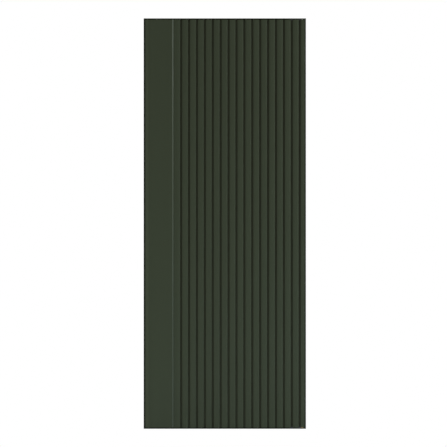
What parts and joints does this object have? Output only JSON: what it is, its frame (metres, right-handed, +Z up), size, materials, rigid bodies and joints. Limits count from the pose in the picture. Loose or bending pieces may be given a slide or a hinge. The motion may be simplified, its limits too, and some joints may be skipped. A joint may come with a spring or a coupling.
{
  "type": "bathroom door with frame",
  "caption": "Flush painted door leaf with a plain lock stile and vertical round-bottomed grooves, hung on concealed corner pivots in a slim aluminium frame with a stop, gaskets and a sill.",
  "frame": {"origin": "middle of the footprint, on the floor", "axes": "+X to the hinge side (right, seen from the front), +Y from the front face to the back, +Z up"},
  "size_m": [0.813, 0.09, 2.057],
  "materials": {
    "olive_paint": "matte",
    "olive_coat": "matte",
    "timber": "matte",
    "chipboard": "matte",
    "black_rubber": "matte",
    "black_steel": "satin",
    "zinc_steel": "satin",
    "mill_aluminium": "satin",
    "bronze": "satin"
  },
  "bodies": {
    "frame": {"lock_jamb": "olive_coat", "hinge_jamb": "olive_coat", "frame_head": "olive_coat", "sill": "olive_coat", "lock_stop": "olive_coat", "hinge_stop": "olive_coat", "head_stop": "olive_coat", "stop_screws": "zinc_steel", "corner_cleats": "mill_aluminium", "corner_screws": "zinc_steel", "sill_screws": "zinc_steel", "lock_gasket": "black_rubber", "hinge_gasket": "black_rubber", "head_gasket": "black_rubber", "top_pivot_plate": "black_steel", "bottom_pivot_plate": "black_steel", "thrust_washer": "bronze", "strike_plate": "black_steel", "plate_screws": "black_steel"},
    "leaf": {"front_panel": "olive_paint", "back_panel": "olive_paint", "lock_stile": "timber", "hinge_stile": "timber", "top_rail": "timber", "bottom_rail": "timber", "tube_core": "chipboard", "lock_edge_band": "olive_paint", "hinge_edge_band": "olive_paint", "top_pivot_strap": "black_steel", "bottom_pivot_strap": "black_steel", "bottom_pivot_bush": "bronze", "strap_screws": "black_steel", "top_pivot_spring": "zinc_steel", "catch_barrel": "bronze", "catch_spring": "zinc_steel"},
    "top_pin": {"top_pivot_pin": "zinc_steel"},
    "catch": {"catch_plunger": "zinc_steel"}
  },
  "joints": [
    {"name": "leaf_swing", "type": "hinge", "parent": "frame", "child": "leaf", "pos_m": [0.3885, -0.032, 0], "axis": [0, 0, 1], "range_deg": [0, 110]},
    {"name": "top_pin_retract", "type": "slide", "parent": "leaf", "child": "top_pin", "axis": [0, 0, -1], "range_m": [0, 0.007], "stiffness_N_per_m": 800, "springref_m": -0.006, "deforming": ["top_pivot_spring"]},
    {"name": "catch_press", "type": "slide", "parent": "leaf", "child": "catch", "axis": [0, 0, -1], "range_m": [0, 0.003], "stiffness_N_per_m": 2500, "springref_m": -0.004, "deforming": ["catch_spring"]}
  ]
}
